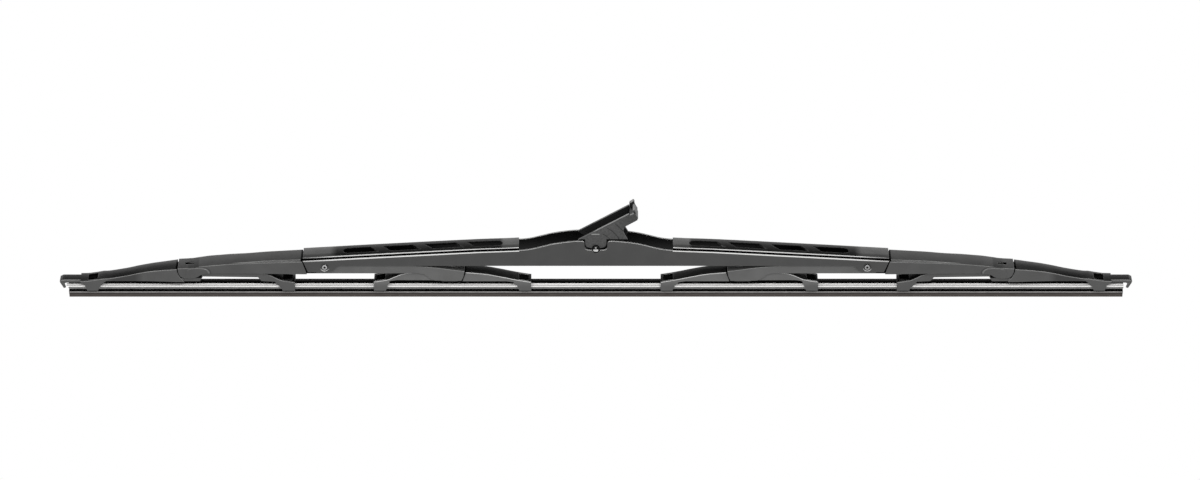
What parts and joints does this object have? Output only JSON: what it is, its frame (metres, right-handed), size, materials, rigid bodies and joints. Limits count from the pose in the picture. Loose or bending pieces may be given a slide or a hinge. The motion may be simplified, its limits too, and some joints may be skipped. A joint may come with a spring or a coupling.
{
  "type": "windscreen wiper blade",
  "caption": "Articulated-frame wiper blade: pressed steel bridge and levers whose claws carry a straight rubber refill with steel rails, and a tilting plastic adapter for an arm's hook.",
  "frame": {"origin": "centre of the cross pin that the adapter turns on, where the arm's hook sits", "axes": "+X along the blade, towards the raised end of the adapter; +Y along the cross pin; +Z away from the glass"},
  "size_m": [0.6098, 0.0164, 0.0585],
  "materials": {
    "black_paint": "satin black powder coat",
    "rail_steel": "rolled stainless strip",
    "pin_steel": "bright zinc plate",
    "rivet_steel": "dull plated head",
    "adapter_plastic": "finely textured black moulding",
    "bush_plastic": "smooth black moulding",
    "refill_rubber": "matt natural rubber with graphite"
  },
  "bodies": {
    "adapter": {"adapter": "adapter_plastic"},
    "bridge": {"main_bridge": "black_paint", "pivot_pin": "pin_steel", "rivet_left": "rivet_steel", "rivet_right": "rivet_steel", "wiping_rubber": "refill_rubber", "rail_front": "rail_steel", "rail_back": "rail_steel"},
    "lever_left": {"secondary_left": "black_paint", "sleeve_left": "bush_plastic"},
    "lever_right": {"secondary_right": "black_paint", "sleeve_right": "bush_plastic"},
    "yoke_outer_left": {"tertiary_outer_left": "black_paint", "bush_outer_left": "bush_plastic"},
    "yoke_inner_left": {"tertiary_inner_left": "black_paint", "bush_inner_left": "bush_plastic"},
    "yoke_inner_right": {"tertiary_inner_right": "black_paint", "bush_inner_right": "bush_plastic"},
    "yoke_outer_right": {"tertiary_outer_right": "black_paint", "bush_outer_right": "bush_plastic"}
  },
  "joints": [
    {"name": "adapter_pivot", "type": "hinge", "parent": "adapter", "child": "bridge", "pos_m": [0, 0, 0], "axis": [0, 1, 0], "range_deg": [-29.5, 55]},
    {"name": "lever_left_flex", "type": "hinge", "parent": "bridge", "child": "lever_left", "pos_m": [-0.1539, 0, -0.0111], "axis": [0, -1, 0], "range_deg": [-1, 3], "stiffness_Nm_per_rad": 1.6, "deforming": ["wiping_rubber", "rail_front", "rail_back"]},
    {"name": "lever_right_flex", "type": "hinge", "parent": "bridge", "child": "lever_right", "pos_m": [0.1539, 0, -0.0111], "axis": [0, 1, 0], "range_deg": [-1, 3]},
    {"name": "yoke_outer_left_flex", "type": "hinge", "parent": "lever_left", "child": "yoke_outer_left", "pos_m": [-0.2309, 0, -0.0165], "axis": [0, -1, 0], "range_deg": [-0.45, 1.3]},
    {"name": "yoke_inner_left_flex", "type": "hinge", "parent": "lever_left", "child": "yoke_inner_left", "pos_m": [-0.0816, 0, -0.0185], "axis": [0, -1, 0], "range_deg": [-1.5, 0.5]},
    {"name": "yoke_inner_right_flex", "type": "hinge", "parent": "lever_right", "child": "yoke_inner_right", "pos_m": [0.0816, 0, -0.0185], "axis": [0, 1, 0], "range_deg": [-1.5, 0.5]},
    {"name": "yoke_outer_right_flex", "type": "hinge", "parent": "lever_right", "child": "yoke_outer_right", "pos_m": [0.2309, 0, -0.0165], "axis": [0, 1, 0], "range_deg": [-0.45, 1.3]}
  ],
  "couplings": [
    {"joint": "lever_right_flex", "follows": "lever_left_flex", "ratio": 1},
    {"joint": "yoke_outer_left_flex", "follows": "lever_left_flex", "ratio": 0.431},
    {"joint": "yoke_inner_left_flex", "follows": "lever_left_flex", "ratio": -0.4935},
    {"joint": "yoke_inner_right_flex", "follows": "lever_left_flex", "ratio": -0.4935},
    {"joint": "yoke_outer_right_flex", "follows": "lever_left_flex", "ratio": 0.431}
  ]
}
